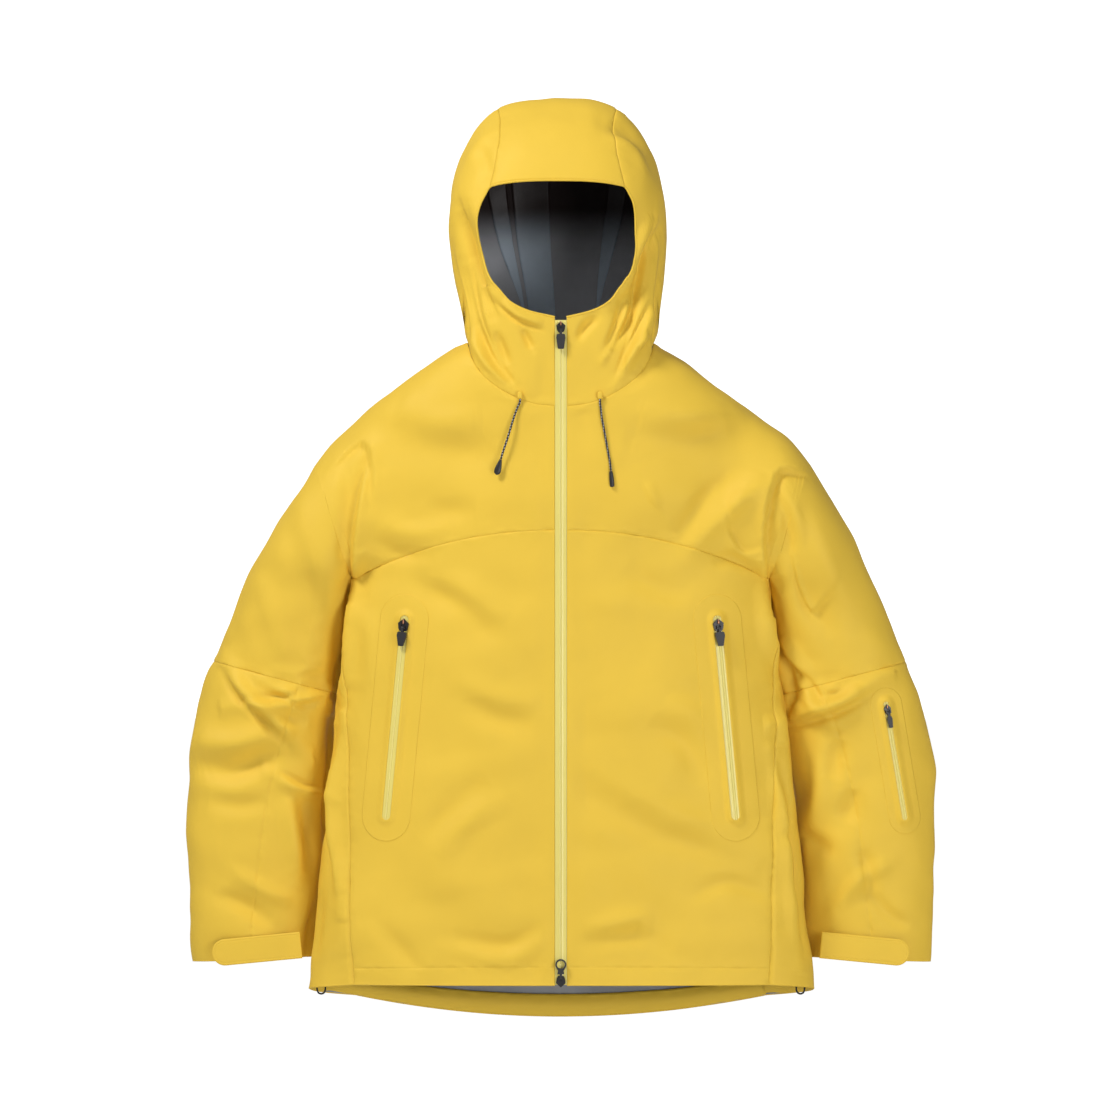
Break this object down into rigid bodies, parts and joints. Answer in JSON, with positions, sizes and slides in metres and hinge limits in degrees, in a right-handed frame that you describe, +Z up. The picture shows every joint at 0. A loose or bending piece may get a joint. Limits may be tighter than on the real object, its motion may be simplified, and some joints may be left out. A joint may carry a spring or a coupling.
{
  "type": "hooded hardshell jacket",
  "caption": "Hooded waterproof shell jacket with a full-length two-way front zip, zipped hand and sleeve pockets, tabbed cuffs, corded hood and drop-tail hem.",
  "frame": {"origin": "the hanger loop at the centre of the back neck, from which the jacket hangs", "axes": "+Z up towards the crown of the hood, -Y towards the front zip, +X towards the wearer's left sleeve"},
  "size_m": [0.906, 0.2114, 1.1013],
  "materials": {
    "shell_fabric": "matt three-layer woven shell, mango yellow",
    "shell_lining": "grey knitted backer on the shell's inside",
    "pocket_mesh": "fine grey mesh",
    "seam_tape": "smooth blue-grey heat-sealed tape",
    "zip_tape": "satin water-resistant coating, pale lime yellow",
    "zip_plastic": "black moulded plastic",
    "slider_black": "black painted die-cast metal",
    "slider_copper": "bare coppery bridge spring",
    "pull_black": "moulded black pull",
    "cord_black": "braided black cord with pale flecks",
    "elastic_black": "black elastic cord",
    "cord_end_black": "moulded black cord end",
    "lock_black": "black moulded cord lock",
    "hook_tape": "black hook and loop tape",
    "webbing_black": "black woven tape",
    "stitching": "yellow polyester thread"
  },
  "bodies": {
    "root": {"front_panel_left": "shell_fabric", "front_panel_right": "shell_fabric", "front_yoke_left": "shell_fabric", "front_yoke_right": "shell_fabric", "side_panel_left": "shell_fabric", "side_panel_right": "shell_fabric", "back_panel": "shell_fabric", "back_yoke": "shell_fabric", "sleeve_cap_left": "shell_fabric", "sleeve_cap_right": "shell_fabric", "hood_side_left": "shell_fabric", "hood_side_right": "shell_fabric", "hood_centre_panel": "shell_fabric", "hood_brim": "shell_fabric", "storm_flap": "shell_lining", "front_zip_tape_left": "zip_tape", "front_zip_tape_right": "zip_tape", "front_zip_coil": "zip_plastic", "front_zip_stops": "zip_plastic", "pocket_zip_left": "zip_tape", "pocket_zip_right": "zip_tape", "pocket_bag_left": "pocket_mesh", "pocket_bag_right": "pocket_mesh", "hood_cord_left": "cord_black", "hood_cord_right": "cord_black", "hood_cord_end_left": "cord_end_black", "hood_cord_end_right": "cord_end_black", "hood_cord_eyelets": "shell_fabric", "hem_cord": "elastic_black", "hem_lock_left": "lock_black", "hem_lock_right": "lock_black", "hem_loop_left": "elastic_black", "hem_loop_right": "elastic_black", "hanger_loop": "webbing_black"},
    "front_slider_top": {"front_slider_top": "slider_black"},
    "front_pull_top": {"front_pull_top": "pull_black"},
    "front_slider_bottom": {"front_slider_bottom": "slider_black"},
    "front_pull_bottom": {"front_pull_bottom": "pull_black"},
    "pocket_slider_left": {"pocket_slider_left": "slider_black"},
    "pocket_pull_left": {"pocket_pull_left": "pull_black"},
    "sleeve_left": {"upper_sleeve_left": "shell_fabric", "forearm_outer_left": "shell_fabric", "forearm_inner_left": "shell_fabric", "cuff_loop_patch_left": "hook_tape", "sleeve_zip": "zip_tape", "sleeve_pocket_bag": "pocket_mesh"},
    "cuff_tab_left": {"cuff_tab_left": "shell_fabric", "cuff_hook_patch_left": "hook_tape"},
    "hem_button_left": {"hem_button_left": "lock_black"},
    "pocket_slider_right": {"pocket_slider_right": "slider_black"},
    "pocket_pull_right": {"pocket_pull_right": "pull_black"},
    "sleeve_right": {"upper_sleeve_right": "shell_fabric", "forearm_outer_right": "shell_fabric", "forearm_inner_right": "shell_fabric", "cuff_loop_patch_right": "hook_tape"},
    "cuff_tab_right": {"cuff_tab_right": "shell_fabric", "cuff_hook_patch_right": "hook_tape"},
    "hem_button_right": {"hem_button_right": "lock_black"},
    "sleeve_slider": {"sleeve_slider": "slider_black"},
    "sleeve_pull": {"sleeve_pull": "pull_black"}
  },
  "joints": [
    {"name": "front_top_slide", "type": "slide", "parent": "root", "child": "front_slider_top", "axis": [0, 0, -1], "range_m": [0, 0.42]},
    {"name": "front_top_pull_swing", "type": "hinge", "parent": "front_slider_top", "child": "front_pull_top", "pos_m": [0, -0.1448, 0.0385], "axis": [-1, 0, 0], "range_deg": [0, 150]},
    {"name": "front_bottom_slide", "type": "slide", "parent": "root", "child": "front_slider_bottom", "axis": [0, 0, 1], "range_m": [0, 0.28]},
    {"name": "front_bottom_pull_swing", "type": "hinge", "parent": "front_slider_bottom", "child": "front_pull_bottom", "pos_m": [0, -0.1448, -0.7405], "axis": [1, 0, 0], "range_deg": [0, 170]},
    {"name": "pocket_slide_left", "type": "slide", "parent": "root", "child": "pocket_slider_left", "axis": [0.0927, 0.0028, -0.9957], "range_m": [0, 0.215]},
    {"name": "pocket_pull_swing_left", "type": "hinge", "parent": "pocket_slider_left", "child": "pocket_pull_left", "pos_m": [0.19036, -0.12154, -0.31927], "axis": [-0.9391, -0.3322, -0.0884], "range_deg": [0, 150]},
    {"name": "pocket_slide_right", "type": "slide", "parent": "root", "child": "pocket_slider_right", "axis": [-0.0927, 0.0028, -0.9957], "range_m": [0, 0.215]},
    {"name": "pocket_pull_swing_right", "type": "hinge", "parent": "pocket_slider_right", "child": "pocket_pull_right", "pos_m": [-0.19036, -0.12154, -0.31927], "axis": [-0.9391, 0.3322, 0.0884], "range_deg": [0, 150]},
    {"name": "sleeve_zip_slide", "type": "slide", "parent": "sleeve_left", "child": "sleeve_slider", "axis": [0.1642, 0.046, -0.9854], "range_m": [0, 0.122]},
    {"name": "sleeve_pull_swing", "type": "hinge", "parent": "sleeve_slider", "child": "sleeve_pull", "pos_m": [0.39481, -0.06331, -0.4213], "axis": [-0.9473, -0.2713, -0.1705], "range_deg": [0, 150]},
    {"name": "sleeve_swing_left", "type": "hinge", "parent": "root", "child": "sleeve_left", "pos_m": [0.3452, -0.042, -0.2023], "axis": [0, -1, 0], "range_deg": [0, 35]},
    {"name": "sleeve_swing_right", "type": "hinge", "parent": "root", "child": "sleeve_right", "pos_m": [-0.3452, -0.042, -0.2023], "axis": [0, 1, 0], "range_deg": [0, 35]},
    {"name": "cuff_tab_swing_left", "type": "hinge", "parent": "sleeve_left", "child": "cuff_tab_left", "pos_m": [0.313, -0.0533, -0.702], "axis": [-0.0958, 0, -0.9954], "range_deg": [0, 100]},
    {"name": "cuff_tab_swing_right", "type": "hinge", "parent": "sleeve_right", "child": "cuff_tab_right", "pos_m": [-0.313, -0.0533, -0.702], "axis": [-0.0958, 0, 0.9954], "range_deg": [0, 100]},
    {"name": "hem_button_press_left", "type": "slide", "parent": "root", "child": "hem_button_left", "axis": [0, 0, -1], "range_m": [0, 0.004], "stiffness_N_per_m": 900},
    {"name": "hem_button_press_right", "type": "slide", "parent": "root", "child": "hem_button_right", "axis": [0, 0, -1], "range_m": [0, 0.004], "stiffness_N_per_m": 900}
  ]
}
